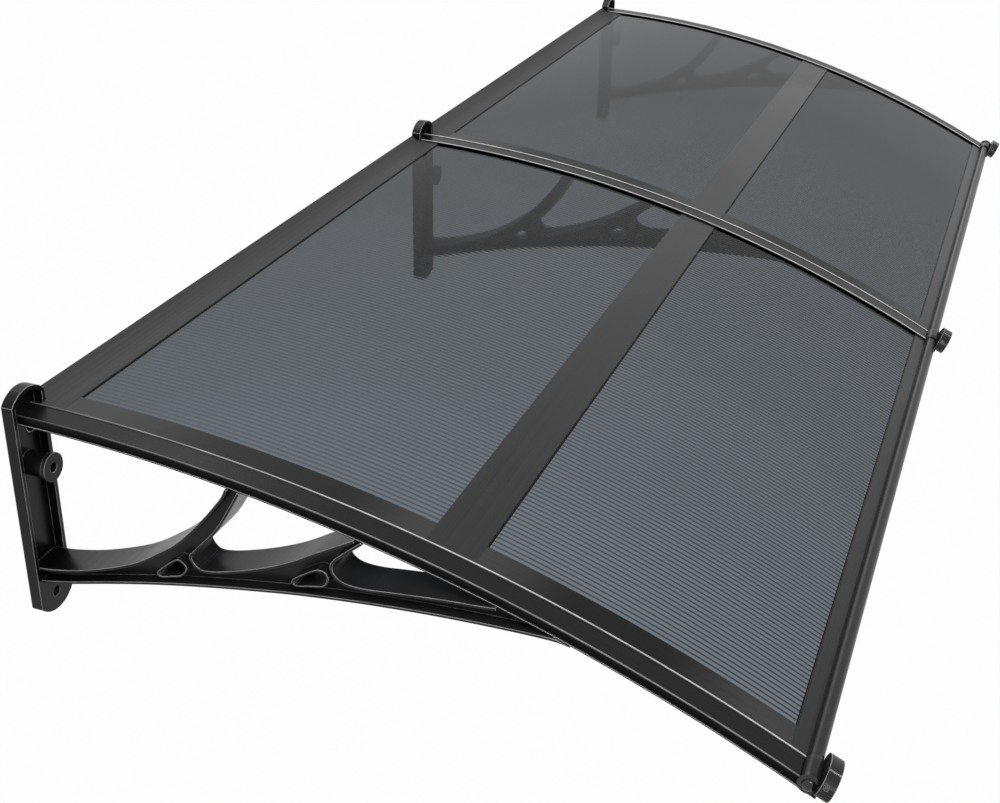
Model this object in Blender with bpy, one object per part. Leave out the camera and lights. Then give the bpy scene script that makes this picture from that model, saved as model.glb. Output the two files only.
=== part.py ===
"""A wall-mounted door canopy: three moulded brackets carry four arched twin-wall sheets.

Metres, +Z up. X runs along the wall, the wall is the plane Y = 0 and the canopy reaches
out towards -Y. The origin is the centre of the middle bracket's wall plate, on its back.
An outline is (out, up) pairs, where out is the distance from the wall. The bracket's own
outlines are written as (out, drop) and hang from the arch, so they follow its radius.
"""

import math

import bmesh
import bpy
from mathutils import Vector

# Overall layout
BAY_WIDTH = 1.175
SEAT_GAP = 0.0003

# Wall plate of a bracket
PLATE_WIDTH = 0.061
PLATE_HEIGHT = 0.313
PLATE_THICKNESS = 0.0155
PLATE_DOME = 0.015
PLATE_RIM = 0.0055
PLATE_FLOOR = 0.003
PLATE_TRAY_LOW = -0.083
BOSS_NECK_RADIUS = 0.0155
BOSS_RADIUS = 0.0185
BOSS_DISC = 0.0055
BOSS_OUT = 0.038
BOSS_UP = 0.0535
BOSS_HOLE_RADIUS = 0.0065
LOW_HOLE_RADIUS = 0.007
LOW_HOLE_UP = -0.131

# Arch that the sheets follow: the radius of the cover strip's top
ARCH_RADIUS = 2.187
ARCH_CROWN_BEHIND_WALL = 0.0244
STRIP_TOP_AT_WALL = 0.1275

# Cover strip, gasket, rail, sheet and bracket flange, stacked inwards from the strip's top
STRIP_WIDTH = 0.0360
STRIP_THICKNESS = 0.0022
STRIP_RIDGE_RADIUS = 0.0013
STRIP_FLOOR = 0.0011
EDGE_COVER_WIDTH = 0.002
GASKET_WIDTH = STRIP_WIDTH - 2 * (EDGE_COVER_WIDTH + SEAT_GAP)
GASKET_THICKNESS = 0.0005
GASKET_STEP = 0.001
SHEET_THICKNESS = 0.004
SHEET_CLEARANCE = 0.0002
RAIL_WALL = 0.0008
RAIL_HEIGHT = SHEET_THICKNESS + 2 * (SHEET_CLEARANCE + RAIL_WALL)
FLANGE_THICKNESS = 0.0016
FLANGE_WIDTH = 0.042
GASKET_TOP = STRIP_THICKNESS + SEAT_GAP
RAIL_TOP = GASKET_TOP + GASKET_THICKNESS + SEAT_GAP
SHEET_TOP = RAIL_TOP + RAIL_WALL + SHEET_CLEARANCE
RAIL_BOTTOM = RAIL_TOP + RAIL_HEIGHT
FLANGE_TOP = RAIL_BOTTOM + SEAT_GAP
FLANGE_BOTTOM = FLANGE_TOP + FLANGE_THICKNESS

# Rails, by distance out from the wall
STRIP_START = PLATE_FLOOR + 0.0006
REAR_RAIL_START = PLATE_THICKNESS + 0.0006
REAR_RAIL_END = 0.0464
FLASHING_FOOT = 0.030
FLASHING_TIP = 0.001
FLASHING_RISE = 0.0092
FLASHING_THICKNESS = 0.0016
FLASHING_STEPS = 8
NOSE_OUT = 0.9871
CENTRE_BAR_START = 0.5144
CENTRE_BAR_END = 0.5746
BEAD_BEHIND_NOSE = 0.0211
BEAD_OUT = NOSE_OUT - BEAD_BEHIND_NOSE
FRONT_RAIL_REACH = 0.0266
FRONT_RAIL_START = BEAD_OUT - FRONT_RAIL_REACH
FRONT_WEB_REACH = 0.0140
FRONT_WEB_OUT = BEAD_OUT - FRONT_WEB_REACH
BEAD_RADIUS = 0.0085
BEAD_BELOW = RAIL_BOTTOM - BEAD_RADIUS
STRIP_END = BEAD_OUT - BEAD_RADIUS - 0.0015
BEAD_SIDES = 20
BEAD_CLEARANCE = 0.0005
RAIL_WEB = 0.004
SHEET_END_GAP = 0.001
RAIL_JOINT_GAP = 0.0005
SHEET_JOINT_GAP = 0.001
NOTCH_CLEARANCE = 0.0008
SIDE_BAR_EDGE = 0.0565

# Moulded arms of a bracket
ARM_WIDTH = 0.049
WEB_WIDTH = 0.014
ARM_FLANGE = 0.0032
FLANGE_STEP = 0.0002
EYE_WIDTH = ARM_WIDTH - 0.002
EYE_RIM = 0.0022

# Nose at the front of a bracket: an oval block in front of the bead
NOSE_TILT = math.radians(24)
NOSE_THICKNESS = 0.0155
NOSE_HALF_WIDTH = PLATE_WIDTH / 2
NOSE_HALF_HEIGHT = 0.018
NOSE_SIDES = 36
NOSE_SEAM_RADIUS = 0.0008
NOSE_SEAM_ANGLE = math.radians(107)
PLUG_LENGTH = 0.006
SCREW_RADIUS = 0.0026
SCREW_DEPTH = 0.003
SCREW_PROUD = 0.0008
SCREW_ANGLE = math.radians(152)
SCREW_BEHIND = 0.65 * NOSE_THICKNESS

ARC_STEP = 0.024

# Bracket outlines, (out, drop): drop is the height under the cover strip's top at that reach
ARM_TOP = [
    (0.0015, 0.2100),
    (0.0350, 0.2058),
    (0.0865, 0.1913),
    (0.1504, 0.1623),
    (0.1929, 0.1315),
    (0.2224, 0.1050),
    (0.2540, 0.0663),
    (0.2812, 0.0272),
    (0.2890, 0.0110),
]
FIRST_OPENING = [
    (0.3075, 0.0111),
    (0.2952, 0.0352),
    (0.2738, 0.0740),
    (0.2443, 0.1121),
    (0.2370, 0.1232),
    (0.2461, 0.1339),
    (0.2615, 0.1321),
    (0.2886, 0.1212),
    (0.3270, 0.1014),
    (0.3647, 0.0773),
    (0.4019, 0.0474),
    (0.4310, 0.0242),
    (0.4470, 0.0111),
]
SECOND_OPENING = [
    (0.4590, 0.0111),
    (0.4374, 0.0348),
    (0.4215, 0.0547),
    (0.4230, 0.0681),
    (0.4361, 0.0731),
    (0.4600, 0.0688),
    (0.4889, 0.0585),
    (0.5300, 0.0434),
    (0.5650, 0.0302),
    (0.5950, 0.0196),
    (0.6150, 0.0114),
]
UNDERSIDE = [
    (0.0015, 0.2330),
    (0.0300, 0.2280),
    (0.0650, 0.2187),
    (0.1184, 0.2017),
    (0.1704, 0.1848),
    (0.2211, 0.1684),
    (0.2705, 0.1525),
    (0.3186, 0.1368),
    (0.3657, 0.1209),
    (0.4118, 0.1057),
    (0.4568, 0.0908),
    (0.5010, 0.0761),
    (0.5443, 0.0615),
    (0.5868, 0.0471),
    (0.6263, 0.0336),
    (0.6600, 0.0220),
    (0.6850, 0.0140),
    (0.7000, 0.0114),
]
FIRST_EYE = [
    (0.1889, 0.1621),
    (0.1925, 0.1653),
    (0.2055, 0.1602),
    (0.2188, 0.1544),
    (0.2262, 0.1452),
    (0.2253, 0.1387),
    (0.2203, 0.1354),
    (0.2148, 0.1361),
    (0.2012, 0.1486),
]
SECOND_EYE = [
    (0.3700, 0.1003),
    (0.3727, 0.1052),
    (0.3907, 0.0977),
    (0.4075, 0.0901),
    (0.4126, 0.0795),
    (0.4102, 0.0735),
    (0.4049, 0.0726),
    (0.3985, 0.0752),
    (0.3837, 0.0873),
]


def clear_scene():
    for old in list(bpy.data.objects):
        bpy.data.objects.remove(old, do_unlink=True)


def material(name, color, roughness, metallic=0.0):
    made = bpy.data.materials.new(name)
    made.use_nodes = True
    shader = made.node_tree.nodes["Principled BSDF"]
    shader.inputs["Base Color"].default_value = (*color, 1.0)
    shader.inputs["Roughness"].default_value = roughness
    shader.inputs["Metallic"].default_value = metallic
    return made


def node(name, mesh_data, look):
    made = bpy.data.objects.new(name, mesh_data)
    bpy.context.scene.collection.objects.link(made)
    made.data.materials.clear()
    made.data.materials.append(look)
    return made


def mesh_from(name, verts, faces):
    """A mesh whose faces point outwards."""
    data = bpy.data.meshes.new(name)
    data.from_pydata(verts, [], faces)
    shape = bmesh.new()
    shape.from_mesh(data)
    bmesh.ops.recalc_face_normals(shape, faces=shape.faces[:])
    if shape.calc_volume(signed=True) < 0:
        bmesh.ops.reverse_faces(shape, faces=shape.faces[:])
    shape.to_mesh(data)
    shape.free()
    return data


def smooth_line(points, per_span, closed=False):
    """Points on a Catmull-Rom curve through the given points."""
    count = len(points)
    spans = count if closed else count - 1
    line = []
    for i in range(spans):
        if closed:
            a, b, c, d = (points[(i + k) % count] for k in (-1, 0, 1, 2))
        else:
            b, c = points[i], points[i + 1]
            a = points[i - 1] if i else (2 * b[0] - c[0], 2 * b[1] - c[1])
            last = (2 * c[0] - b[0], 2 * c[1] - b[1])
            d = points[i + 2] if i + 2 < count else last
        for step in range(per_span):
            t = step / per_span
            line.append(tuple(
                0.5 * (2 * q + (r - p) * t + (2 * p - 5 * q + 4 * r - s) * t * t
                       + (3 * q - p - 3 * r + s) * t ** 3)
                for p, q, r, s in zip(a, b, c, d)
            ))
    if not closed:
        line.append(tuple(points[-1]))
    return line


def shifted(line, distance, closed=False):
    """The line moved to its left by the distance, going round its corners."""
    moved = []
    count = len(line)
    for i, here in enumerate(line):
        before = line[i - 1] if closed or i else here
        after = line[(i + 1) % count] if closed or i + 1 < count else here
        along = Vector((after[0] - before[0], after[1] - before[1])).normalized()
        moved.append((here[0] - along.y * distance, here[1] + along.x * distance))
    return moved


def arch_angle(out):
    return math.asin((out + ARCH_CROWN_BEHIND_WALL) / ARCH_RADIUS)


def arch_point(out, below):
    """(out, up) of the point this far below the strip's top, square to the arch."""
    angle = arch_angle(out)
    start = ARCH_RADIUS * math.cos(arch_angle(0))
    radius = ARCH_RADIUS - below
    return (
        radius * math.sin(angle) - ARCH_CROWN_BEHIND_WALL,
        STRIP_TOP_AT_WALL - start + radius * math.cos(angle),
    )


def hung(outline):
    """An outline's points as (out, up): each hangs its own drop under the arch."""
    return [(out, arch_point(out, 0)[1] - drop) for out, drop in outline]


def arch_line(start, end, below):
    count = max(1, round((end - start) / ARC_STEP))
    return [arch_point(start + (end - start) * i / count, below) for i in range(count + 1)]


def prism(name, outline, x_low, x_high):
    """A solid with this (out, up) outline between two planes across X."""
    count = len(outline)
    verts = [(x, -out, up) for x in (x_low, x_high) for out, up in outline]
    faces = [tuple(range(count)), tuple(range(2 * count - 1, count - 1, -1))]
    faces += [(i, (i + 1) % count, count + (i + 1) % count, count + i) for i in range(count)]
    return mesh_from(name, verts, faces)


def between(name, first, second, x_low, x_high):
    """A solid between two open lines of equal length and two planes across X."""
    count = len(first)
    rows = [(line, x) for x in (x_low, x_high) for line in (first, second)]
    verts = [(x, -out, up) for line, x in rows for out, up in line]
    a, b, c, d = (k * count for k in (0, 1, 3, 2))
    faces = [(a, b, c, d), tuple(k + count - 1 for k in (d, c, b, a))]
    for i in range(count - 1):
        for low, high in ((a, b), (b, c), (c, d), (d, a)):
            faces.append((low + i, low + i + 1, high + i + 1, high + i))
    return mesh_from(name, verts, faces)


def band(name, line, distance, x_low, x_high):
    """A strip of even thickness along an open line, between two planes across X."""
    return between(name, line, shifted(line, distance), x_low, x_high)


def sweep(name, stations, profile_at):
    """A solid along the arch: profile_at(out) lists (x, below) pairs, as many each time."""
    rings = []
    for out in stations:
        rings.append([(x, *arch_point(out, below)) for x, below in profile_at(out)])
    count = len(rings[0])
    verts = [(x, -out, up) for line in rings for x, out, up in line]
    faces = [tuple(range(count)), tuple(range(len(verts) - 1, len(verts) - count - 1, -1))]
    for k in range(len(rings) - 1):
        for i in range(count):
            j = (i + 1) % count
            faces.append((k * count + i, k * count + j, (k + 1) * count + j, (k + 1) * count + i))
    return mesh_from(name, verts, faces)


def stations(start, end, steps=()):
    """Distances out along the arch, with a close pair at each step in between."""
    inner = [s for s in steps if start < s < end]
    edges = [start, *inner, end]
    found = []
    for low, high in zip(edges, edges[1:]):
        first = low if low == start else low + 0.0002
        last = high if high == end else high - 0.0002
        count = max(1, round((last - first) / ARC_STEP))
        found += [first + (last - first) * i / count for i in range(count + 1)]
    return found


def cylinder(name, radius, start, end, segments=32):
    """A cylinder between two points."""
    axis = Vector(end) - Vector(start)
    shape = bmesh.new()
    bmesh.ops.create_cone(
        shape, cap_ends=True, segments=segments, radius1=radius, radius2=radius,
        depth=axis.length,
    )
    turn = axis.to_track_quat("Z", "Y").to_matrix().to_4x4()
    turn.translation = (Vector(start) + Vector(end)) / 2
    bmesh.ops.transform(shape, matrix=turn, verts=shape.verts[:])
    data = bpy.data.meshes.new(name)
    shape.to_mesh(data)
    shape.free()
    return data


def along_y(name, radius, start, end, up):
    """A cylinder square to the wall, between two distances from it."""
    return cylinder(name, radius, (0, -start, up), (0, -end, up))


def box(name, low, high):
    xs, ys, zs = zip(low, high)
    verts = [(x, y, z) for z in zs for y in ys for x in xs]
    faces = [(0, 2, 3, 1), (4, 5, 7, 6), (0, 1, 5, 4), (2, 6, 7, 3), (0, 4, 6, 2), (1, 3, 7, 5)]
    return mesh_from(name, verts, faces)


def combined(base, others):
    """The base mesh joined with, or cut by, each (operation, mesh) in turn."""
    body = bpy.data.objects.new("body", base)
    bpy.context.scene.collection.objects.link(body)
    for operation, tool in others:
        helper = bpy.data.objects.new("tool", tool)
        helper.hide_render = True
        helper.display_type = "WIRE"
        bpy.context.scene.collection.objects.link(helper)
        step = body.modifiers.new("step", "BOOLEAN")
        step.operation = operation
        step.solver = "EXACT"
        step.object = helper
        graph = bpy.context.evaluated_depsgraph_get()
        done = bpy.data.meshes.new_from_object(body.evaluated_get(graph))
        body.modifiers.remove(step)
        body.data = done
        bpy.data.objects.remove(helper, do_unlink=True)
    result = body.data
    bpy.data.objects.remove(body, do_unlink=True)
    return result


def dome(inset):
    """(x, up) of the wall plate's domed top, moved inwards, from right to left."""
    half = PLATE_WIDTH / 2
    radius = (half ** 2 + PLATE_DOME ** 2) / (2 * PLATE_DOME)
    reach = math.asin((half - inset) / (radius - inset))
    points = []
    for i in range(13):
        angle = reach - 2 * reach * i / 12
        rise = PLATE_HEIGHT / 2 - radius + (radius - inset) * math.cos(angle)
        points.append(((radius - inset) * math.sin(angle), rise))
    return points


def upright_prism(name, outline, start, end):
    """A solid with this (x, up) outline between two distances from the wall."""
    count = len(outline)
    verts = [(x, -out, up) for out in (start, end) for x, up in outline]
    faces = [tuple(range(count)), tuple(range(2 * count - 1, count - 1, -1))]
    faces += [(i, (i + 1) % count, count + (i + 1) % count, count + i) for i in range(count)]
    return mesh_from(name, verts, faces)


def nose_frame():
    """(centre, outward, upward) of the nose block's front face in (out, up)."""
    centre = arch_point(NOSE_OUT, FLANGE_BOTTOM - NOSE_HALF_HEIGHT)
    outward = Vector((math.cos(NOSE_TILT), -math.sin(NOSE_TILT)))
    upward = Vector((math.sin(NOSE_TILT), math.cos(NOSE_TILT)))
    return Vector(centre), outward, upward


def nose_point(x, height, behind):
    """The point this far along X, above the nose's centre and behind its front face."""
    centre, outward, upward = nose_frame()
    out, up = centre + upward * height - outward * behind
    return (x, -out, up)


def nose_mesh():
    """The oval block, hollowed where the bead passes behind it."""
    verts = []
    for behind in (0.0, NOSE_THICKNESS):
        for i in range(NOSE_SIDES):
            angle = 2 * math.pi * i / NOSE_SIDES
            x = NOSE_HALF_WIDTH * math.cos(angle)
            verts.append(nose_point(x, NOSE_HALF_HEIGHT * math.sin(angle), behind))
    count = NOSE_SIDES
    faces = [tuple(range(count)), tuple(range(2 * count - 1, count - 1, -1))]
    faces += [(i, (i + 1) % count, count + (i + 1) % count, count + i) for i in range(count)]
    out, up = arch_point(BEAD_OUT, BEAD_BELOW)
    channel = cylinder(
        "channel", BEAD_RADIUS + BEAD_CLEARANCE, (-ARM_WIDTH, -out, up), (ARM_WIDTH, -out, up), 48)
    return combined(mesh_from("nose", verts, faces), [("DIFFERENCE", channel)])


def nose_seam():
    """The moulding seam along the upper side of the nose."""
    x = NOSE_HALF_WIDTH * math.cos(NOSE_SEAM_ANGLE)
    height = NOSE_HALF_HEIGHT * math.sin(NOSE_SEAM_ANGLE)
    start = nose_point(x, height, SEAT_GAP)
    end = nose_point(x, height, NOSE_THICKNESS - SEAT_GAP)
    return cylinder("seam", NOSE_SEAM_RADIUS, start, end, 12)


def screw_point(beyond):
    """A point on the nose screw's axis, this far beyond the oval's surface."""
    x = NOSE_HALF_WIDTH * math.cos(SCREW_ANGLE)
    height = NOSE_HALF_HEIGHT * math.sin(SCREW_ANGLE)
    away = Vector((x / NOSE_HALF_WIDTH ** 2, height / NOSE_HALF_HEIGHT ** 2)).normalized()
    return nose_point(x + away.x * beyond, height + away.y * beyond, SCREW_BEHIND)


def under_flange(line):
    """The line closed along the middle of the arch flange."""
    back = arch_line(line[0][0], line[-1][0], FLANGE_TOP + FLANGE_THICKNESS / 2)
    return line + back[::-1]


def plate_mesh():
    """The wall plate: a tray open to the front above the lower arm, solid below it."""
    top = dome(0.0)
    outline = top + [(-x, -up) for x, up in top]
    inner = dome(PLATE_RIM)
    tray = inner + [(inner[-1][0], PLATE_TRAY_LOW), (inner[0][0], PLATE_TRAY_LOW)]
    return combined(
        upright_prism("plate", outline, 0.0, PLATE_THICKNESS),
        [("DIFFERENCE", upright_prism("tray", tray, PLATE_FLOOR, 2 * PLATE_THICKNESS))],
    )


def bracket_mesh():
    """One moulded piece: wall plate, boss, arch flange, two struts, lower arm and nose."""
    half = ARM_WIDTH / 2
    arm_top = smooth_line(hung(ARM_TOP), 4)
    first = smooth_line(hung(FIRST_OPENING), 4)
    second = smooth_line(hung(SECOND_OPENING), 4)
    underside = smooth_line(hung(UNDERSIDE), 4)
    eyes = [smooth_line(hung(outline), 3, closed=True) for outline in (FIRST_EYE, SECOND_EYE)]
    middle = FLANGE_TOP + FLANGE_THICKNESS / 2
    silhouette = arm_top + arch_line(arm_top[-1][0], underside[-1][0], middle)
    silhouette += underside[::-1]

    steps = [("DIFFERENCE", prism("opening", under_flange(line), -ARM_WIDTH, ARM_WIDTH))
             for line in (first, second)]
    for outline in eyes:
        rim = shifted(outline, -EYE_RIM, closed=True)
        steps.append(("UNION", prism("rim", rim, -EYE_WIDTH / 2, EYE_WIDTH / 2)))
    for i, line in enumerate((arm_top, first, second, underside)):
        inwards = 1 if line is underside else -1
        reach = half - i * FLANGE_STEP
        steps.append(("UNION", band("flange", line, inwards * ARM_FLANGE, -reach, reach)))
    above = arch_line(ARM_TOP[-1][0] - 0.05, UNDERSIDE[-1][0] + 0.05, middle)
    above += [(above[-1][0], STRIP_TOP_AT_WALL), (above[0][0], STRIP_TOP_AT_WALL)]
    steps.append(("DIFFERENCE", prism("above", above, -ARM_WIDTH, ARM_WIDTH)))
    for outline in eyes:
        steps.append(("DIFFERENCE", prism("eye", outline, -ARM_WIDTH, ARM_WIDTH)))

    flange_end = NOSE_OUT - NOSE_THICKNESS / 2
    arch_top = arch_line(PLATE_FLOOR / 2, flange_end, FLANGE_TOP)
    arch_under = arch_line(PLATE_FLOOR / 2, flange_end, FLANGE_BOTTOM)
    arch = between("arch", arch_top, arch_under, -FLANGE_WIDTH / 2, FLANGE_WIDTH / 2)
    steps += [
        ("UNION", arch),
        ("UNION", plate_mesh()),
        ("UNION", along_y("neck", BOSS_NECK_RADIUS, PLATE_FLOOR / 2, BOSS_OUT - BOSS_DISC / 2, BOSS_UP)),
        ("UNION", along_y("disc", BOSS_RADIUS, BOSS_OUT - BOSS_DISC, BOSS_OUT, BOSS_UP)),
        ("DIFFERENCE", along_y("hole", BOSS_HOLE_RADIUS, -0.01, 2 * BOSS_OUT, BOSS_UP)),
        ("DIFFERENCE", along_y("hole", LOW_HOLE_RADIUS, -0.01, 2 * BOSS_OUT, LOW_HOLE_UP)),
        ("UNION", nose_mesh()),
        ("UNION", nose_seam()),
        ("DIFFERENCE", cylinder(
            "hole", SCREW_RADIUS + SEAT_GAP,
            screw_point(-SCREW_DEPTH - SEAT_GAP), screw_point(SCREW_DEPTH))),
    ]
    return combined(prism("web", silhouette, -WEB_WIDTH / 2, WEB_WIDTH / 2), steps)


def strip_profile(out):
    """(x, below) of a cover strip: flat below, a rounded ridge along each edge above."""
    edge = STRIP_WIDTH / 2
    ridge = []
    for i in range(7):
        angle = math.pi * i / 6
        ridge.append((
            edge - STRIP_RIDGE_RADIUS + STRIP_RIDGE_RADIUS * math.cos(angle),
            STRIP_RIDGE_RADIUS - STRIP_RIDGE_RADIUS * math.sin(angle),
        ))
    ridge.append((edge - 2 * STRIP_RIDGE_RADIUS - 0.0006, STRIP_FLOOR + 0.0004))
    right = [(edge, STRIP_THICKNESS), *ridge]
    return right + [(-x, below) for x, below in right[::-1]]


def strip_mesh():
    return sweep("strip", stations(STRIP_START, STRIP_END), strip_profile)


def gasket_steps():
    """Where the gasket changes thickness, a little beside each rail's edge."""
    return (
        REAR_RAIL_START - GASKET_STEP, REAR_RAIL_END + GASKET_STEP, CENTRE_BAR_START - GASKET_STEP,
        CENTRE_BAR_END + GASKET_STEP, FRONT_RAIL_START - GASKET_STEP,
    )


def gasket_profile(out):
    """(x, below) of a gasket: thin over a rail, down to the flange or the sheet elsewhere."""
    tray, rear, bar_low, bar_high, front = gasket_steps()
    if out < tray:
        bottom = FLANGE_TOP - SEAT_GAP
    elif out < rear or out > front or bar_low < out < bar_high:
        bottom = RAIL_TOP - SEAT_GAP
    else:
        bottom = SHEET_TOP - SEAT_GAP
    half = GASKET_WIDTH / 2
    return [(-half, GASKET_TOP), (half, GASKET_TOP), (half, bottom), (-half, bottom)]


def gasket_mesh():
    along = stations(STRIP_START, STRIP_END, gasket_steps())
    return sweep("gasket", along, gasket_profile)


def edge_cover_mesh(side):
    outer = side * STRIP_WIDTH / 2
    inner = side * (STRIP_WIDTH / 2 - EDGE_COVER_WIDTH)

    def profile(out):
        return [(inner, GASKET_TOP), (outer, GASKET_TOP), (outer, RAIL_BOTTOM), (inner, RAIL_BOTTOM)]

    return sweep("cover", stations(REAR_RAIL_START, STRIP_END), profile)


def rail_ends(side):
    """(x_low, x_high) of a bay's rails, for the left bay (-1) or the right one (1)."""
    outer = BAY_WIDTH + GASKET_WIDTH / 2
    return sorted((side * RAIL_JOINT_GAP, side * outer))


def rail_mesh(profile, side):
    low, high = rail_ends(side)
    return prism("rail", [arch_point(out, below) for out, below in profile], low, high)


def rear_rail_mesh(side):
    """A channel open to the front, with a flashing that slopes up to the wall behind it."""
    web_front = REAR_RAIL_START + RAIL_WEB
    inner_top = RAIL_TOP + RAIL_WALL
    inner_bottom = RAIL_BOTTOM - RAIL_WALL
    profile = [
        (REAR_RAIL_START, RAIL_BOTTOM), (REAR_RAIL_END, RAIL_BOTTOM),
        (REAR_RAIL_END, inner_bottom), (web_front, inner_bottom),
        (web_front, inner_top), (REAR_RAIL_END, inner_top),
        (REAR_RAIL_END, RAIL_TOP),
    ]
    upper = []
    for i in range(FLASHING_STEPS + 1):
        t = i / FLASHING_STEPS
        out = FLASHING_FOOT + (FLASHING_TIP - FLASHING_FOOT) * t
        upper.append((out, RAIL_TOP - (RAIL_TOP + FLASHING_RISE) * t * t))
    lower = [(out, below + FLASHING_THICKNESS) for out, below in upper if out < REAR_RAIL_START]
    profile += upper + lower[::-1] + [(REAR_RAIL_START, inner_top + FLASHING_THICKNESS)]
    rail = rail_mesh(profile, side)
    half = PLATE_WIDTH / 2 + NOTCH_CLEARANCE
    strip_half = STRIP_WIDTH / 2 + NOTCH_CLEARANCE
    rail_start = -REAR_RAIL_START - SEAT_GAP
    flat = arch_point(FLASHING_FOOT, RAIL_TOP)[1]
    cuts = []
    for centre in (0.0, side * BAY_WIDTH):
        cuts.append(("DIFFERENCE", box(
            "plate notch", (centre - half, rail_start, 0.0), (centre + half, 0.05, 0.2))))
        cuts.append(("DIFFERENCE", box(
            "strip notch", (centre - strip_half, -REAR_RAIL_END, flat), (centre + strip_half, 0.05, 0.2))))
    return combined(rail, cuts)


def centre_bar_mesh(side):
    """An H: each sheet slides into the slot on its own side of the web."""
    middle = (CENTRE_BAR_START + CENTRE_BAR_END) / 2
    web_low, web_high = middle - RAIL_WEB / 2, middle + RAIL_WEB / 2
    inner_top = RAIL_TOP + RAIL_WALL
    inner_bottom = RAIL_BOTTOM - RAIL_WALL
    profile = [
        (CENTRE_BAR_START, RAIL_BOTTOM), (CENTRE_BAR_END, RAIL_BOTTOM),
        (CENTRE_BAR_END, inner_bottom), (web_high, inner_bottom),
        (web_high, inner_top), (CENTRE_BAR_END, inner_top),
        (CENTRE_BAR_END, RAIL_TOP), (CENTRE_BAR_START, RAIL_TOP),
        (CENTRE_BAR_START, inner_top), (web_low, inner_top),
        (web_low, inner_bottom), (CENTRE_BAR_START, inner_bottom),
    ]
    return rail_mesh(profile, side)


def front_rail_mesh(side):
    """A channel open to the wall with a round bead along its front."""
    inner_top = RAIL_TOP + RAIL_WALL
    inner_bottom = RAIL_BOTTOM - RAIL_WALL
    top_angle = math.asin((BEAD_BELOW - RAIL_TOP) / BEAD_RADIUS)
    low_angle = math.asin((BEAD_BELOW - RAIL_BOTTOM) / BEAD_RADIUS)
    level = math.cos(arch_angle(BEAD_OUT))
    first = math.pi - top_angle
    last = -math.pi - low_angle
    profile = [(FRONT_RAIL_START, inner_top), (FRONT_RAIL_START, RAIL_TOP)]
    for i in range(BEAD_SIDES + 1):
        angle = first + (last - first) * i / BEAD_SIDES
        profile.append((
            BEAD_OUT + BEAD_RADIUS * math.cos(angle) * level,
            BEAD_BELOW - BEAD_RADIUS * math.sin(angle),
        ))
    profile += [
        (FRONT_RAIL_START, RAIL_BOTTOM), (FRONT_RAIL_START, inner_bottom),
        (FRONT_WEB_OUT, inner_bottom), (FRONT_WEB_OUT, inner_top),
    ]
    return rail_mesh(profile, side)


def sheet_mesh(side, start, end):
    low, high = rail_ends(side)
    low = low + SHEET_JOINT_GAP
    high = high - SHEET_JOINT_GAP
    bottom = SHEET_TOP + SHEET_THICKNESS

    def profile(out):
        return [(low, SHEET_TOP), (high, SHEET_TOP), (high, bottom), (low, bottom)]

    return sweep("sheet", stations(start + SHEET_END_GAP, end - SHEET_END_GAP), profile)


def side_bar_mesh(start, end):
    """A flat bar on a bay's sheet beside its left cover strip, level with the rails' tops."""
    inner = GASKET_WIDTH / 2 + SEAT_GAP
    bottom = SHEET_TOP - SEAT_GAP

    def profile(out):
        return [(inner, RAIL_TOP), (SIDE_BAR_EDGE, RAIL_TOP), (SIDE_BAR_EDGE, bottom), (inner, bottom)]

    return sweep("side bar", stations(start + SEAT_GAP, end - SEAT_GAP), profile)


def placed(name, mesh_data, look, x=0.0):
    made = node(name, mesh_data, look)
    made.location.x = x
    return made


clear_scene()

moulded = material("black moulded plastic", (0.015, 0.015, 0.016), 0.42)
aluminium = material("dark grey coated aluminium", (0.060, 0.060, 0.062), 0.38, 0.5)
rubber = material("black rubber", (0.010, 0.010, 0.010), 0.75)
smoked = material("smoked polycarbonate", (0.090, 0.100, 0.110), 0.20)
steel = material("dark screw steel", (0.120, 0.120, 0.125), 0.35, 0.9)

bracket = bracket_mesh()
strip = strip_mesh()
gasket = gasket_mesh()
for name, x in (("left", -BAY_WIDTH), ("middle", 0.0), ("right", BAY_WIDTH)):
    placed(f"bracket_{name}", bracket, moulded, x)
    placed(f"cover_strip_{name}", strip, aluminium, x)
    placed(f"gasket_{name}", gasket, rubber, x)
    screw = cylinder(
        "screw", SCREW_RADIUS,
        screw_point(-SCREW_DEPTH), screw_point(SCREW_PROUD))
    placed(f"nose_screw_{name}", screw, steel, x)

rear_start = REAR_RAIL_START + RAIL_WEB
centre_low = (CENTRE_BAR_START + CENTRE_BAR_END - RAIL_WEB) / 2
centre_high = centre_low + RAIL_WEB
for name, side in (("left", -1), ("right", 1)):
    x = side * BAY_WIDTH
    placed(f"rear_rail_{name}", rear_rail_mesh(side), aluminium)
    placed(f"centre_bar_{name}", centre_bar_mesh(side), aluminium)
    placed(f"front_rail_{name}", front_rail_mesh(side), aluminium)
    placed(f"sheet_rear_{name}", sheet_mesh(side, rear_start, centre_low), smoked)
    placed(f"sheet_front_{name}", sheet_mesh(side, centre_high, FRONT_WEB_OUT), smoked)
    placed(f"edge_cover_{name}", edge_cover_mesh(side), rubber, x)
    strip_x = min(x, 0.0)
    rear_bar = side_bar_mesh(REAR_RAIL_END, CENTRE_BAR_START)
    front_bar = side_bar_mesh(CENTRE_BAR_END, FRONT_RAIL_START)
    placed(f"side_bar_rear_{name}", rear_bar, aluminium, strip_x)
    placed(f"side_bar_front_{name}", front_bar, aluminium, strip_x)
    out, up = arch_point(BEAD_OUT, BEAD_BELOW)
    near = side * (GASKET_WIDTH / 2 + SEAT_GAP)
    far = near + side * PLUG_LENGTH
    plug = cylinder("plug", BEAD_RADIUS, (near, -out, up), (far, -out, up))
    placed(f"bead_plug_{name}", plug, moulded, x)
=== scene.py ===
"""Looks of a door canopy: two bays of smoked twin-wall sheet on three moulded brackets."""

import math

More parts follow.
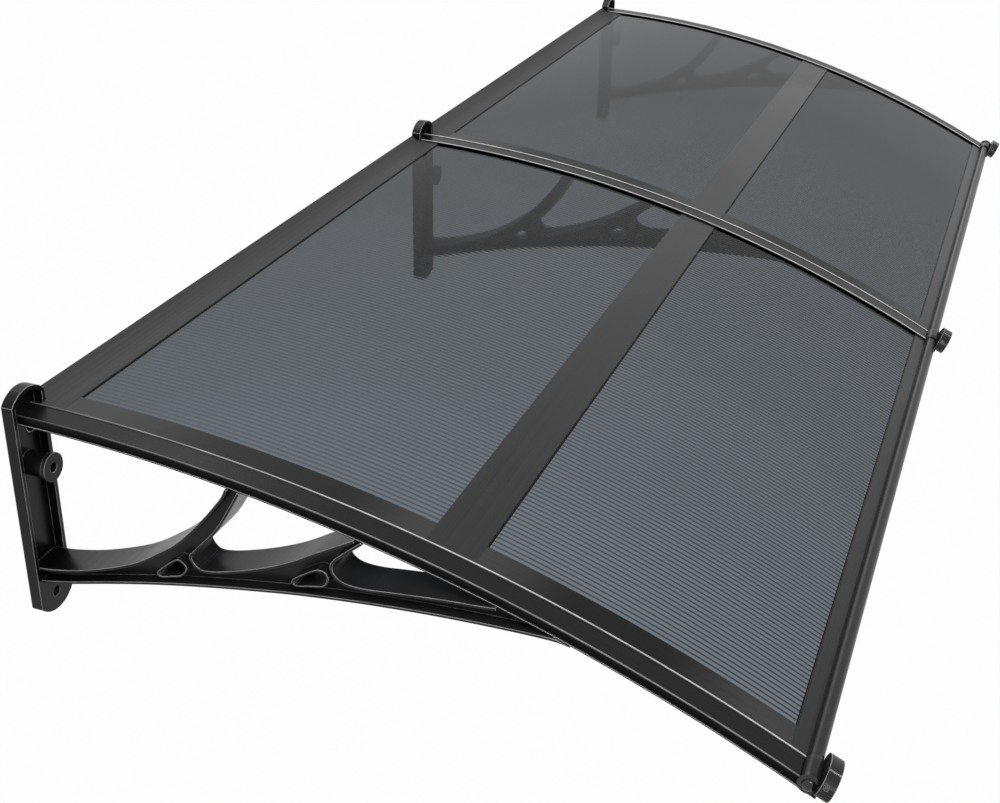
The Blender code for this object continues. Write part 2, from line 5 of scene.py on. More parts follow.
import bmesh
import bpy
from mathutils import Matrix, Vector


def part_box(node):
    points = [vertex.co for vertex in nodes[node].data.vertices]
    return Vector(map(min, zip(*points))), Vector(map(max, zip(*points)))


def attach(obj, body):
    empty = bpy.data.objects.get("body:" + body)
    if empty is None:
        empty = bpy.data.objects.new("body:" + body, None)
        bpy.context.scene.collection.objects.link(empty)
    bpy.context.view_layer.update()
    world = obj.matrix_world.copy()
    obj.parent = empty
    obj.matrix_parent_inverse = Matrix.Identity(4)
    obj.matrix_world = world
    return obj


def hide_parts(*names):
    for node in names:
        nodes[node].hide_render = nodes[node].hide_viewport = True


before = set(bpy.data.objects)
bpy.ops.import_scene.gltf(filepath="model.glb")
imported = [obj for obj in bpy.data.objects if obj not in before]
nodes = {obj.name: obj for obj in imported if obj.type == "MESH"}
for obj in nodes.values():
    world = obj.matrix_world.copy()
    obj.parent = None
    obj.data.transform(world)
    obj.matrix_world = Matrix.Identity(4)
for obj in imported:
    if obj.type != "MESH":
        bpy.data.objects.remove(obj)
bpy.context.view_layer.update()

# The brackets and the cover strips over them stand a bay apart.
BAY = 1.175
BRACKET_X = {"left": -BAY, "middle": 0.0, "right": BAY}

# The roof's arch. Strips, rails and sheets are arcs round one axis along the canopy.
# ARCH_Y and ARCH_Z place the axis, and the others are radii.
ARCH_Y = 0.0244
ARCH_Z = -2.05936
STRIP_TOP = 2.187
SHEET_TOP = STRIP_TOP - 0.0043
SHEET_THICKNESS = 0.0040
SHEET_MIDDLE = SHEET_TOP - SHEET_THICKNESS / 2
FLANGE_BOTTOM = STRIP_TOP - 0.0112


def arch_height(radius, out):
    """The height of the arc of this radius, at this distance out from the wall."""
    return ARCH_Z + math.sqrt(radius ** 2 - (out + ARCH_Y) ** 2)


# The two ridges along each cover strip, painted with a highlight between two radii and half this
# wide, and how bright each strip's right and left ridge highlight is, with how much wider it
# shows.
RIDGE_OFF = 0.0167
RIDGE_HALF = 0.0007
RIDGE_FADE = 0.0008
RIDGE_RADII = (STRIP_TOP - 0.0016, STRIP_TOP - 0.0008)
RIDGE_SHINE = (("left", 205, 140, 0.0), ("middle", 238, 228, 0.0), ("right", 238, 228, 0.0006))

# The flutes in the sheets. A flute's shade is a sine wave raised to a power, with this mean.
# Its phase wanders a little, and its depth grows from the first to the second of FLUTE_DEPTHS.
FLUTE_PITCH = 0.00827
FLUTE_POWER = 0.62
FLUTE_MEAN = 0.62
FLUTE_WANDER = 0.35
FLUTE_DEPTHS = (0.35, 1.30)
FLUTE_DARK = (0.0060, 0.0085, 0.0110, 1)
FLUTE_LIGHT = (0.298, 0.338, 0.381, 1)
UNDER_TINT = (0.100, 0.115, 0.130, 1)

# The bead along the front rail, and the painted highlight stripe on its upper rear flank, which
# is painted brighter along CREST_X.
BEAD_OUT = 0.9660
BEAD_UP = arch_height(STRIP_TOP - 0.0008, BEAD_OUT)
CREST_OUT = BEAD_OUT - 0.0034
CREST_HALF = 0.0004
CREST_REACH = 0.0028
CREST_RADII = (STRIP_TOP + 0.0030, STRIP_TOP + 0.0045)
CREST_X = (-1.2, 1.2)

# A cover strip's end, curled over the bead: radii, angles in degrees, where 0 points away from
# the wall and 90 up, and its tail, which leads in from the strip. Each row of the tail is a
# distance out from the bead's centre, a height, and the share of a ring's inset by which that
# height is lowered.
SADDLE_RADIUS = 0.0112
SADDLE_INNER = 0.0089
SADDLE_HALF = 0.0178
SADDLE_REAR = 155
SADDLE_FRONT = -45
SADDLE_INNER_REAR = 175
SADDLE_STEPS = 22
SADDLE_TAIL = ((-0.0150, 0.0012, 0.5), (-0.0130, 0.0014, 0.5),
               (-0.0117, 0.0021, 1.0), (-0.0109, 0.0032, 1.0))
SADDLE_TAIL_BOTTOM = -0.0004

# Half a saddle's rings, from its side to near its middle: a share of SADDLE_HALF, and the
# inset that rounds its side.
SADDLE_RINGS = ((1.0, 0.0009), (0.985, 0.0003), (0.95, 0.0), (0.5, 0.0))

# The V-shaped rib under each strip's rear end. Its tip is rounded, and the rows of
# GUSSET_ROUND are steps from its lowest point.
GUSSET_START = 0.0160
GUSSET_TIP = 0.0235
GUSSET_END = 0.0400
GUSSET_DROP = 0.0120
GUSSET_HALF = 0.0170
GUSSET_SUNK = 0.0006
GUSSET_REAR_LEG = 0.0018
GUSSET_FRONT_LEG = 0.0034
GUSSET_FLOOR = 0.0030
GUSSET_FLOOR_REAR = GUSSET_TIP - 0.0006
GUSSET_FLOOR_FRONT = GUSSET_TIP + 0.0010
GUSSET_ROUND = ((-0.0022, 0.0012), (-0.0012, 0.0003), (0.0, 0.0), (0.0012, 0.0003),
                (0.0024, 0.0012))

# The rubber lips along the rails: each rail's edge, out from the wall, and its lip's width,
# which is negative where the lip lies behind the edge.
LIPS = {"rear": (0.0466, 0.0022), "centre": (0.5748, 0.0016), "front": (0.9392, -0.0012)}
LIP_HEIGHT = 0.0011
LIP_LIFT = 0.00005
LIP_FROM_STRIP = 0.0568
LIP_TO_STRIP = 0.0165
LIP_STEPS = 24
LIP_ARC_STEPS = 6

# The plug in the bead's end. Distances along it are from the bead's end, the flange's rim is
# rows of radius and distance, and the button is domed.
PLUG_CHAMFER = 0.0006
PLUG_COLLAR = 0.0022
PLUG_RIM = ((0.0116, 0.0024), (0.0126, 0.0028), (0.0129, 0.0034), (0.0126, 0.0041),
            (0.0116, 0.0045), (0.0084, 0.0042), (0.0079, 0.0043))
BUTTON_RADIUS = 0.0077
BUTTON_FOOT = 0.0046
BUTTON_RISE = 0.0052
BUTTON_STEPS = 12
PLUG_SIDES = 40

# Where faces meet at more than this angle, the edge between them stays sharp.
SHARP_DEGREES = 42

# Where colours change, from one place to another along an axis: from the wall plate to the arm,
# whose paler colour is painted light, where the strips' painted sheen grows, where the left
# strip's painted ridge highlights dim, and where flutes deepen.
PLATE_TO_ARM_Y = (-0.06, -0.22)
STRIP_SHEEN_Y = (-0.35, -0.95)
STRIP_SHEEN_X = (-1.0, 0.0)
RIDGE_HIGHLIGHT_DIM_Y = (-0.05, -0.45)
FLUTE_DEEPENS_Y = (-0.10, -0.85)

# Painted edge highlights: how far an edge has to look up, how far round a corner is felt for, and
# how much of the surroundings an outer edge has open.
EDGE_HIGHLIGHT_UP = (-0.35, 0.15)
CORNER_REACH = 0.004
CORNER_OPEN = (0.58, 0.80)

# The slants between which the sheets' ribs come to hide what is behind, and the tint there.
SLANT = (0.36, 0.70)
SLANT_TINTS = (1.0, 0.045)

# Where painted light turns the side bars' coating paler: each rail's middle, and how far it
# reaches.
PAINTED_LIGHT_BY_RAILS = ((0.046, 0.22), (0.5445, 0.15), (0.939, 0.16))
PAINTED_LIGHT_HALF = 0.03

# The floor, the lamps, the world's light and the camera. The camera's turn is in degrees.
FLOOR_REACH = 40.0
FLOOR_LEVEL = -2.3
FLOOR_GREY = 0.82
FLOOR_GLOW = 0.97
LAMPS = {"key": ((-3.0, -2.6, 3.0), 1.6, 75.0), "top": ((0.6, 0.9, 3.2), 2.4, 45.0)}
LAMP_AIM = (0.0, -0.5, -0.05)
WORLD_LIGHT = 0.6
WORLD_SEEN = 1.0
CAMERA_PLACE = (-2.39465, -1.05727, 0.93520)
CAMERA_TURN = (62.478, -1.074, -69.155)
CAMERA_LENS = 52.128
CAMERA_SENSOR = 36.0

WHITE = (1, 1, 1, 1)

# The values between which most of a noise lies, for clouds, for die lines and for specks.
CLOUD_RANGE = (0.3, 0.7)
LINE_RANGE = (0.35, 0.65)
SPECK_RANGE = (0.6, 0.8)


# Short calls for nodes

class Nodes:
    """The nodes of one tree."""

    def __init__(self, tree):
        self.tree = tree

    def node(self, kind, **settings):
        made = self.tree.nodes.new(kind)
        for key, value in settings.items():
            setattr(made, key, value)
        return made

    def feed(self, socket, value):
        """Links another node's output to the socket, or sets a constant on it."""
        if isinstance(value, bpy.types.NodeSocket):
            self.tree.links.new(value, socket)
        else:
            socket.default_value = value

    def math(self, operation, a, b=0.0, clamp=False):
        made = self.node("ShaderNodeMath", operation=operation, use_clamp=clamp)
        for socket, value in zip(made.inputs, (a, b)):
            self.feed(socket, value)
        return made.outputs[0]

    def product(self, first, *others):
        for other in others:
            first = self.math("MULTIPLY", first, other)
        return first

    def remap(self, value, span, low=0.0, high=1.0, smooth=False):
        """Low where the value is at the span's first number or before, high from its second."""
        kind = "SMOOTHSTEP" if smooth else "LINEAR"
        made = self.node("ShaderNodeMapRange", interpolation_type=kind)
        for key, number in (("Value", value), ("From Min", span[0]), ("From Max", span[1]),
                            ("To Min", low), ("To Max", high)):
            self.feed(made.inputs[key], number)
        return made.outputs["Result"]

    def shaders(self, factor, first, second):
        made = self.node("ShaderNodeMixShader")
        for socket, value in zip(made.inputs, (factor, first, second)):
            self.feed(socket, value)
        return made.outputs[0]

    def seen(self):
        """1 for what the camera, a gloss or a clear material looks at, 0 for light."""
        path = self.node("ShaderNodeLightPath").outputs
        direct = self.math("MAXIMUM", path["Is Camera Ray"], path["Is Glossy Ray"])
        return self.math("MAXIMUM", direct, path["Is Transmission Ray"])


class Paint(Nodes):
    """A material with one Principled shader, and the patterns that feed it."""

    def __init__(self, name):
        self.mat = bpy.data.materials.new(name)
        self.mat.use_nodes = True
        super().__init__(self.mat.node_tree)
        self.shader = self.tree.nodes["Principled BSDF"]
        self.place = self.node("ShaderNodeTexCoord").outputs["Object"]

    def set(self, **values):
        """Feeds the shader's sockets, whose names are written here with underscores."""
        for key, value in values.items():
            self.feed(self.shader.inputs[key.replace("_", " ")], value)

    def parts(self, vector):
        """The x, y and z of a vector."""
        made = self.node("ShaderNodeSeparateXYZ")
        self.feed(made.inputs[0], vector)
        return made.outputs

    def noise(self, scale, detail=3.0, rough=0.5, vector=None):
        made = self.node("ShaderNodeTexNoise")
        for key, value in (("Vector", vector or self.place), ("Scale", scale),
                           ("Detail", detail), ("Roughness", rough)):
            self.feed(made.inputs[key], value)
        return made.outputs["Fac"]

    def lines(self, *scales, detail=4.0):
        """Fine lines: a noise drawn out along the axes with the smaller scales."""
        made = self.node("ShaderNodeMapping")
        self.feed(made.inputs["Vector"], self.place)
        self.feed(made.inputs["Scale"], scales)
        return self.noise(1.0, detail, 0.6, made.outputs[0])

    def clouds(self, noise, low=0.0, high=1.0):
        return self.remap(noise, CLOUD_RANGE, low, high)

    def blend(self, factor, first, second, how="MIX"):
        made = self.node("ShaderNodeMix", data_type="RGBA", blend_type=how)
        self.feed(made.inputs["Factor"], factor)
        self.feed(made.inputs[6], first)
        self.feed(made.inputs[7], second)
        return made.outputs[2]

    def lined(self, lines, dark, light):
        """Two colours in fine lines."""
        return self.blend(self.remap(lines, LINE_RANGE), dark, light)

    def speckled(self, noise, colour, speck, share):
        """A colour with fine specks of another."""
        return self.blend(self.remap(noise, SPECK_RANGE, 0.0, share), colour, speck)

    def shaded(self, colour, value):
        """A colour multiplied by a value."""
        grey = self.node("ShaderNodeCombineColor")
        for socket in grey.inputs:
            self.feed(socket, value)
        return self.blend(1.0, colour, grey.outputs[0], "MULTIPLY")

    def bump(self, height, strength, distance, normal=None):
        made = self.node("ShaderNodeBump")
        for key, value in (("Height", height), ("Strength", strength), ("Distance", distance)):
            self.feed(made.inputs[key], value)
        if normal is not None:
            self.feed(made.inputs["Normal"], normal)
        return made.outputs["Normal"]

    def soft_edges(self, radius):
        """The surface's direction, with its edges rounded off."""
        made = self.node("ShaderNodeBevel", samples=4)
        self.feed(made.inputs["Radius"], radius)
        return made.outputs["Normal"]

    def near(self, value, place, inner, outer):
        """1 within inner of a place, 0 beyond outer."""
        off = self.math("ABSOLUTE", self.math("SUBTRACT", value, place))
        return self.remap(off, (inner, outer), 1.0, 0.0, smooth=True)

    def arch_radius(self):
        """Distance from the arch's axis."""
        _, y, z = self.parts(self.place)
        across = self.math("POWER", self.math("SUBTRACT", y, ARCH_Y), 2.0)
        above = self.math("POWER", self.math("SUBTRACT", z, ARCH_Z), 2.0)
        return self.math("SQRT", self.math("ADD", across, above))

    def painted_edge_highlight(self, rounded, low, high):
        """Painted highlight: 1 on outer edges that look up, where the rounded normal leaves the
        face's own.

        It grows from the bend low to the bend high. Inner corners are left out by how much of
        the surroundings is hidden from them."""
        own = self.node("ShaderNodeNewGeometry").outputs["True Normal"]
        dot = self.node("ShaderNodeVectorMath", operation="DOT_PRODUCT")
        self.feed(dot.inputs[0], rounded)
        self.feed(dot.inputs[1], own)
        bend = self.math("SUBTRACT", 1.0, dot.outputs["Value"])
        bent = self.remap(bend, (low, high))
        looks_up = self.remap(self.parts(rounded)[2], EDGE_HIGHLIGHT_UP)
        patchy = self.remap(self.noise(scale=45.0, detail=4.0, rough=0.6), (0.3, 0.6), 0.5, 1.0)
        open_air = self.node("ShaderNodeAmbientOcclusion", samples=4)
        self.feed(open_air.inputs["Distance"], CORNER_REACH)
        outer = self.remap(open_air.outputs["AO"], CORNER_OPEN)
        return self.product(bent, looks_up, patchy, outer)


def rgb(r, g, b):
    """A colour written as the eight-bit numbers of a picture."""
    def line(v):
        v /= 255
        return v / 12.92 if v <= 0.04045 else ((v + 0.055) / 1.055) ** 2.4
    return (line(r), line(g), line(b), 1.0)


# Materials

def moulded_plastic():
    """Black glass-filled nylon: a fine spark-eroded grain, faint flow clouds, painted edge
    highlights.

    The arms are painted paler than the wall plate, as painted light on their upper faces."""
    p = Paint("moulded_black_plastic")
    flow = p.noise(scale=9.0, detail=4.0)
    grain = p.noise(scale=900.0, detail=2.0)
    rounded = p.soft_edges(radius=0.0013)
    # Painted light: the arms, lit on their upper faces, get a paler copy of the plate's colour.
    plate = p.blend(p.clouds(flow), rgb(11, 11, 12), rgb(19, 19, 20))
    arms = p.blend(p.clouds(flow), rgb(29, 29, 30), rgb(40, 40, 41))
    on_arm = p.remap(p.parts(p.place)[1], PLATE_TO_ARM_Y)
    colour = p.blend(on_arm, plate, arms)
    colour = p.blend(p.remap(grain, (0.62, 0.8), 0.0, 0.35), colour, rgb(50, 50, 52))
    # Painted highlight: near-white on outer edges that look up.
    colour = p.blend(p.painted_edge_highlight(rounded, 0.012, 0.07), colour, rgb(224, 224, 227))
    p.set(Base_Color=colour, Roughness=p.clouds(flow, 0.28, 0.38), Specular_IOR_Level=0.17,
          Normal=p.bump(grain, strength=0.12, distance=0.0002, normal=rounded))
    return p.mat


def plug_plastic():
    """The bead plugs: the same plastic with a smoother, glossier skin."""
    p = Paint("glossy_black_plastic")
    flow = p.noise(scale=60.0)
    grain = p.noise(scale=1200.0, detail=2.0)
    colour = p.blend(p.clouds(flow), rgb(20, 20, 21), rgb(34, 34, 36))
    colour = p.speckled(grain, colour, rgb(60, 60, 62), 0.3)
    p.set(Base_Color=colour, Roughness=p.clouds(flow, 0.20, 0.30), Specular_IOR_Level=0.5,
          Normal=p.bump(grain, strength=0.08, distance=0.0001))
    return p.mat


def coated_aluminium(name, dark, light, level, rough=(0.24, 0.32), crest=None):
    """Dark anodised extrusion: satin, with die lines along its length and painted edge highlights.

    crest is the colour of a painted highlight along the upper rear flank of the front bead."""
    p = Paint(name)
    lines = p.lines(1.5, 900.0, 900.0)
    rounded = p.soft_edges(radius=0.0006)
    colour = p.lined(lines, dark, light)
    colour = p.speckled(p.noise(scale=1400.0, detail=2.0), colour, rgb(70, 70, 72), 0.25)
    # Painted highlight on outer edges that look up.
    colour = p.blend(p.painted_edge_highlight(rounded, 0.05, 0.40), colour, rgb(84, 84, 86))
    # Painted highlight: a pale stripe along the bead's upper rear flank, brighter towards the
    # right.
    if crest:
        x, y, _ = p.parts(p.place)
        high = p.remap(p.arch_radius(), CREST_RADII, smooth=True)
        flank = p.near(y, -CREST_OUT, CREST_HALF, CREST_REACH)
        brighter = p.remap(x, CREST_X, 0.22, 1.0)
        colour = p.blend(p.product(high, flank, brighter), colour, crest)
    p.set(Base_Color=colour, Roughness=p.clouds(p.noise(scale=5.0), *rough),
          Specular_IOR_Level=level,
          Normal=p.bump(lines, strength=0.10, distance=0.0002, normal=rounded))
    return p.mat


def coated_strip():
    """The same coating on the arched cover strips: die lines follow the arch.

    The ridges carry painted highlights, and a painted sheen makes the colour paler towards the
    front and the right."""
    p = Paint("dark_coated_strip")
    x, y, _ = p.parts(p.place)
    lines = p.lines(1400.0, 6.0, 6.0)
    dark = p.lined(lines, rgb(15, 15, 16), rgb(25, 25, 26))
    # Painted sheen: the colour turns paler towards the front and the right.
    painted_sheen = p.lined(lines, rgb(42, 42, 43), rgb(56, 56, 57))
    sheen_share = p.product(p.remap(y, STRIP_SHEEN_Y), p.remap(x, STRIP_SHEEN_X))
    colour = p.blend(sheen_share, dark, painted_sheen)
    colour = p.speckled(p.noise(scale=1400.0, detail=2.0), colour, rgb(70, 70, 72), 0.25)
    high = p.remap(p.arch_radius(), RIDGE_RADII, smooth=True)
    patchy = p.remap(p.noise(scale=35.0, detail=4.0, rough=0.6), (0.25, 0.65), 0.55, 1.0)
    # The left strip's ridge highlights are painted dimmer, most of all near the wall.
    dimmer_highlight = p.remap(y, RIDGE_HIGHLIGHT_DIM_Y, 0.25, 1.0)
    # Painted highlights along each strip's two ridges.
    for place, right_ridge, left_ridge, wider in RIDGE_SHINE:
        half = RIDGE_HALF + wider
        for side, bright in ((1, right_ridge), (-1, left_ridge)):
            on = p.near(x, BRACKET_X[place] + side * RIDGE_OFF, half, half + RIDGE_FADE)
            ridge_highlight = p.product(on, high, patchy)
            if place == "left":
                ridge_highlight = p.product(ridge_highlight, dimmer_highlight)
            colour = p.blend(ridge_highlight, colour, rgb(bright, bright, bright + 1))
    rounded = p.soft_edges(radius=0.0005)
    p.set(Base_Color=colour, Roughness=p.clouds(p.noise(scale=6.0), 0.22, 0.30),
          Specular_IOR_Level=0.11,
          Normal=p.bump(lines, strength=0.10, distance=0.0002, normal=rounded))
    return p.mat


def side_bar_coat():
    """The side bars' coating: matt, with painted shade deep black half way along a span and
    painted light paler by the rails.
    """
    p = Paint("dark_side_bar")
    lines = p.lines(1400.0, 6.0, 6.0)
    y = p.parts(p.place)[1]
    # Painted light by the rails, painted shade half way along a span.
    painted_light_by_rail = 0.0
    for rail, reach in PAINTED_LIGHT_BY_RAILS:
        painted_light_by_rail = p.math("MAXIMUM", painted_light_by_rail, p.near(y, -rail, PAINTED_LIGHT_HALF, reach))
    deep = p.lined(lines, rgb(6, 6, 6), rgb(14, 14, 14))
    pale = p.lined(lines, rgb(50, 50, 50), rgb(58, 58, 59))
    p.set(Base_Color=p.blend(painted_light_by_rail, deep, pale),
          Roughness=p.clouds(p.noise(scale=6.0), 0.32, 0.42), Specular_IOR_Level=0.12,
          Normal=p.bump(lines, strength=0.10, distance=0.0002))
    return p.mat


def black_rubber():
    """Black rubber profile: matt, with a dusty bloom in patches."""
    p = Paint("black_rubber")
    bloom = p.noise(scale=60.0, detail=5.0, rough=0.6)
    grain = p.noise(scale=1500.0, detail=2.0)
    colour = p.blend(p.remap(bloom, (0.4, 0.75)), rgb(6, 6, 7), rgb(17, 17, 18))
    p.set(Base_Color=colour, Roughness=p.clouds(bloom, 0.55, 0.75), Specular_IOR_Level=0.12,
          Normal=p.bump(grain, strength=0.2, distance=0.0002))
    return p.mat


def screw_steel():
    """Black plated steel, turned: fine rings and a painted highlight on its upper rim."""
    p = Paint("black_plated_steel")
    rings = p.lines(2500.0, 300.0, 2500.0, detail=3.0)
    rounded = p.soft_edges(radius=0.0003)
    colour = p.blend(rings, rgb(46, 46, 48), rgb(74, 74, 76))
    # Painted highlight on outer edges that look up.
    colour = p.blend(p.painted_edge_highlight(rounded, 0.05, 0.4), colour, rgb(150, 150, 152))
    p.set(Base_Color=colour, Metallic=1.0, Roughness=p.clouds(rings, 0.28, 0.42),
          Normal=p.bump(rings, strength=0.15, distance=0.0001, normal=rounded))
    return p.mat


def smoked_sheet():
    """Smoked twin-wall polycarbonate: the flutes show as lighter and darker lines along the arch.

    Its upper face carries the flutes, stronger towards the front; its lower face only tints.
    Seen at a slant, the ribs between the two faces hide more of what is behind."""
    p = Paint("smoked_twin_wall_sheet")
    x, y, _ = p.parts(p.place)
    upper = p.math("GREATER_THAN", p.arch_radius(), SHEET_MIDDLE)
    wander = p.product(p.math("SUBTRACT", p.noise(scale=3.0, detail=2.0), 0.5), FLUTE_WANDER)
    turn = p.math("ADD", p.product(x, 2 * math.pi / FLUTE_PITCH), wander)
    wave = p.math("ADD", p.product(p.math("SINE", turn), 0.5), 0.5)
    flute = p.math("POWER", wave, FLUTE_POWER)
    depth = p.remap(y, FLUTE_DEEPENS_Y, *FLUTE_DEPTHS)
    flute = p.product(p.math("SUBTRACT", flute, FLUTE_MEAN), depth)
    flute = p.math("ADD", flute, FLUTE_MEAN, clamp=True)
    tint = p.blend(flute, FLUTE_DARK, FLUTE_LIGHT)
    tint = p.shaded(tint, p.clouds(p.noise(scale=4.0), 0.90, 1.06))
    facing = p.node("ShaderNodeLayerWeight")
    p.feed(facing.inputs["Blend"], 0.5)
    tint = p.shaded(tint, p.remap(facing.outputs["Facing"], SLANT, *SLANT_TINTS))
    p.set(Base_Color=p.blend(upper, UNDER_TINT, tint), Transmission_Weight=1.0, IOR=1.145,
          Roughness=p.clouds(p.noise(scale=40.0), 0.025, 0.045),
          Normal=p.bump(flute, strength=0.04, distance=0.0005))
    return p.mat


PLASTIC = moulded_plastic()
PLUG = plug_plastic()
COATING = (rgb(24, 24, 25), rgb(35, 35, 36))
METAL = coated_aluminium("dark_coated_aluminium", *COATING, 0.22)
FRONT_METAL = coated_aluminium("dark_coated_front_rail", *COATING, 0.22, crest=rgb(98, 98, 100))
# The flashing is a paler copy of the coating with almost no gloss: its sheen is painted into the
# colour.
REAR_METAL = coated_aluminium("coated_flashing_painted_sheen", rgb(61, 61, 62), rgb(72, 72, 73), 0.04,
                              rough=(0.40, 0.50))
SIDE_BAR = side_bar_coat()
RUBBER = black_rubber()
SHEET = smoked_sheet()

FINISH = {"bracket": PLASTIC, "bead_plug": PLASTIC,
          "cover_strip": coated_strip(), "gasket": RUBBER, "edge_cover": RUBBER,
          "nose_screw": screw_steel(),
          "rear_rail": REAR_METAL, "centre_bar": METAL, "front_rail": FRONT_METAL,
          "sheet_rear": SHEET, "sheet_front": SHEET,
          "side_bar_rear": SIDE_BAR, "side_bar_front": SIDE_BAR}
for name, obj in nodes.items():
    for slot in obj.material_slots:
        slot.material = FINISH[name.rsplit("_", 1)[0]]


# Pieces

def arc(wide, high, start, stop, steps):
    """Points on an arc from one angle to another, in degrees. Wide and high are its radii."""
    angles = [math.radians(start + (stop - start) * i / steps) for i in range(steps + 1)]
    return [(wide * math.cos(angle), high * math.sin(angle)) for angle in angles]


def piece_of(name, rings, finish, closed_ends=True):
    """A smooth-shaded piece that rides the one body, made from rings of as many points each.

    Each ring is joined to the next, and closed ends get a face over the first and the last."""
    count = len(rings[0])
    last = (len(rings) - 1) * count
    faces = []
    for first in range(0, last, count):
        for k in range(count):
            n = (k + 1) % count
            faces.append((first + k, first + n, first + count + n, first + count + k))
    if closed_ends:
        faces.append(tuple(range(count)))
        faces.append(tuple(last + k for k in reversed(range(count))))
    mesh = bpy.data.meshes.new(name)
    mesh.from_pydata([point for ring in rings for point in ring], [], faces)
    cleaned = bmesh.new()
    cleaned.from_mesh(mesh)
    bmesh.ops.remove_doubles(cleaned, verts=cleaned.verts[:], dist=1e-6)
    bmesh.ops.recalc_face_normals(cleaned, faces=cleaned.faces[:])
    cleaned.to_mesh(mesh)
    cleaned.free()
    mesh.shade_smooth()
    mesh.set_sharp_from_angle(angle=math.radians(SHARP_DEGREES))
    mesh.materials.append(finish)
    obj = bpy.data.objects.new(name, mesh)
    bpy.context.scene.collection.objects.link(obj)
    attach(obj, "root")
    return obj


def domed_plug(name, old):
    """The moulded plug in the bead's end: a collar, a round flange and a domed button."""
    low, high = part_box(old)
    side = 1 if low.x > 0 else -1
    root = low.x if side > 0 else high.x
    radius = (high.z - low.z) / 2
    centre = (low + high) / 2
    profile = [(0.0, 0.0), (radius - PLUG_CHAMFER, 0.0), (radius, PLUG_CHAMFER),
               (radius, PLUG_COLLAR), *PLUG_RIM]
    for away, rise in arc(BUTTON_RADIUS, BUTTON_RISE, 0, 90, BUTTON_STEPS):
        profile.append((away, BUTTON_FOOT + rise))
    turns = [2 * math.pi * k / PLUG_SIDES for k in range(PLUG_SIDES)]
    rings = [[(root + side * along, centre.y + away * math.cos(turn),
               centre.z + away * math.sin(turn)) for turn in turns] for away, along in profile]
    obj = piece_of(name, rings, PLUG, closed_ends=False)
    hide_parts(old)


def strip_gusset(name, centre):
    """The small V-shaped rib under the rear end of a cover strip, in front of the wall plate."""
    def under(out):
        return (out, arch_height(FLANGE_BOTTOM, out) + GUSSET_SUNK)
    tip = under(GUSSET_TIP)[1] - GUSSET_DROP
    outline = [under(GUSSET_START)]
    for out, up in GUSSET_ROUND:
        outline.append((GUSSET_TIP + out, tip + up))
    outline += [under(GUSSET_END), under(GUSSET_END - GUSSET_FRONT_LEG),
                (GUSSET_FLOOR_FRONT, tip + GUSSET_FLOOR),
                (GUSSET_FLOOR_REAR, tip + GUSSET_FLOOR),
                under(GUSSET_START + GUSSET_REAR_LEG)]
    rings = [[(centre + side * GUSSET_HALF, -out, up) for out, up in outline]
             for side in (-1, 1)]
    piece_of(name, rings, PLASTIC)


def glazing_lip(name, start, end, edge, width):
    """A thin rubber lip in the corner between a rail's edge and the sheet, from x start to end."""
    profile = [(0.0, 0.0), *arc(width, LIP_HEIGHT, 0, 90, LIP_ARC_STEPS)]
    rings = []
    for i in range(LIP_STEPS + 1):
        x = start + (end - start) * i / LIP_STEPS
        rings.append([(x, -(edge + away), arch_height(SHEET_TOP + LIP_LIFT + high, edge + away))
                      for away, high in profile])
    piece_of(name, rings, RUBBER)


def bead_saddle(name, centre):
    """The cover strip's moulded end, curled over the front rail's bead and down to the nose."""
    left_half = [(-share, inset) for share, inset in SADDLE_RINGS]
    right_half = list(reversed(SADDLE_RINGS))
    rings = []
    for share, inset in [*left_half, (0.0, 0.0), *right_half]:
        outer = SADDLE_RADIUS - inset
        profile = [(out, up - lower * inset) for out, up, lower in SADDLE_TAIL]
        profile += arc(outer, outer, SADDLE_REAR, SADDLE_FRONT, SADDLE_STEPS)
        profile += arc(SADDLE_INNER, SADDLE_INNER, SADDLE_FRONT, SADDLE_INNER_REAR, SADDLE_STEPS)
        profile.append((SADDLE_TAIL[0][0], SADDLE_TAIL_BOTTOM))
        rings.append([(centre + share * SADDLE_HALF, -(BEAD_OUT + out), BEAD_UP + up)
                      for out, up in profile])
    piece_of(name, rings, FRONT_METAL)


for end in ("left", "right"):
    domed_plug(f"domed_plug_{end}", f"bead_plug_{end}")
for place, centre in BRACKET_X.items():
    bead_saddle(f"bead_saddle_{place}", centre)
    strip_gusset(f"strip_gusset_{place}", centre)
for end, first in (("left", BRACKET_X["left"]), ("right", BRACKET_X["middle"])):
    for place, (edge, width) in LIPS.items():
        glazing_lip(f"lip_{place}_{end}", first + LIP_FROM_STRIP, first + BAY - LIP_TO_STRIP,
                    edge, width)


# Stage

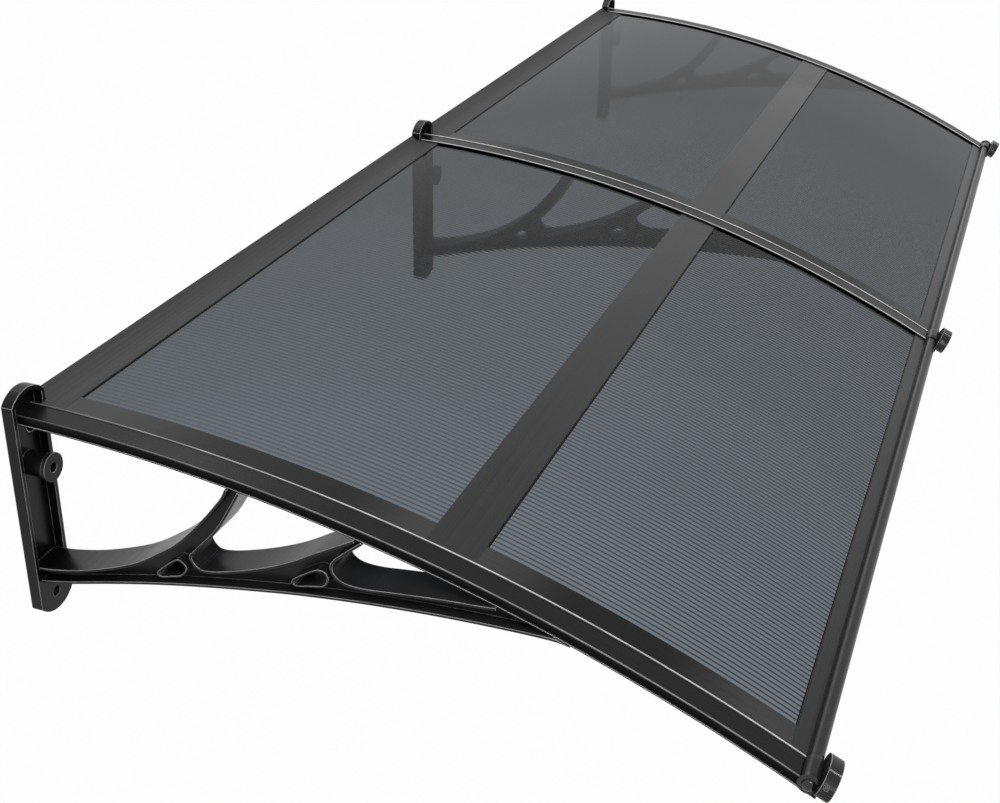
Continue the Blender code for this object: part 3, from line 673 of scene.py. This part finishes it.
def floor():
    """A pale floor far below, as under a canopy on a wall: white to the eye, with its shadow kept.

    From below it is clear, so that the canopy's underside can be looked at."""
    mesh = bpy.data.meshes.new("floor")
    corners = [(x * FLOOR_REACH, y * FLOOR_REACH, FLOOR_LEVEL)
               for x, y in ((-1, -1), (1, -1), (1, 1), (-1, 1))]
    mesh.from_pydata(corners, [], [(0, 1, 2, 3)])
    obj = bpy.data.objects.new("floor", mesh)
    bpy.context.scene.collection.objects.link(obj)
    mat = bpy.data.materials.new("pale_floor")
    mat.use_nodes = True
    mat.node_tree.nodes.clear()
    n = Nodes(mat.node_tree)
    paint = n.node("ShaderNodeBsdfDiffuse")
    n.feed(paint.inputs["Color"], (FLOOR_GREY, FLOOR_GREY, FLOOR_GREY, 1))
    glow = n.node("ShaderNodeEmission")
    n.feed(glow.inputs["Color"], WHITE)
    above = n.shaders(n.product(n.seen(), FLOOR_GLOW), paint.outputs[0], glow.outputs[0])
    clear = n.node("ShaderNodeBsdfTransparent").outputs[0]
    from_below = n.node("ShaderNodeNewGeometry").outputs["Backfacing"]
    out = n.node("ShaderNodeOutputMaterial")
    n.feed(out.inputs["Surface"], n.shaders(from_below, above, clear))
    mesh.materials.append(mat)


def studio():
    """White all round to the eye, a softer white as light, and two large lamps."""
    world = bpy.data.worlds.new("studio")
    bpy.context.scene.world = world
    world.use_nodes = True
    n = Nodes(world.node_tree)
    back = world.node_tree.nodes["Background"]
    n.feed(back.inputs["Color"], WHITE)
    n.feed(back.inputs["Strength"], n.remap(n.seen(), (0.0, 1.0), WORLD_LIGHT, WORLD_SEEN))
    for name, (spot, size, power) in LAMPS.items():
        lamp = bpy.data.lights.new(name, "AREA")
        lamp.shape = "SQUARE"
        lamp.size = size
        lamp.energy = power
        obj = bpy.data.objects.new(name, lamp)
        bpy.context.scene.collection.objects.link(obj)
        obj.location = spot
        aim = Vector(LAMP_AIM) - Vector(spot)
        obj.rotation_euler = aim.to_track_quat("-Z", "Y").to_euler()


def camera():
    data = bpy.data.cameras.new("camera")
    data.lens = CAMERA_LENS
    data.sensor_width = CAMERA_SENSOR
    obj = bpy.data.objects.new("camera", data)
    bpy.context.scene.collection.objects.link(obj)
    obj.location = CAMERA_PLACE
    obj.rotation_euler = [math.radians(angle) for angle in CAMERA_TURN]
    bpy.context.scene.camera = obj


floor()
studio()
camera()
bpy.context.scene.view_settings.view_transform = "Standard"
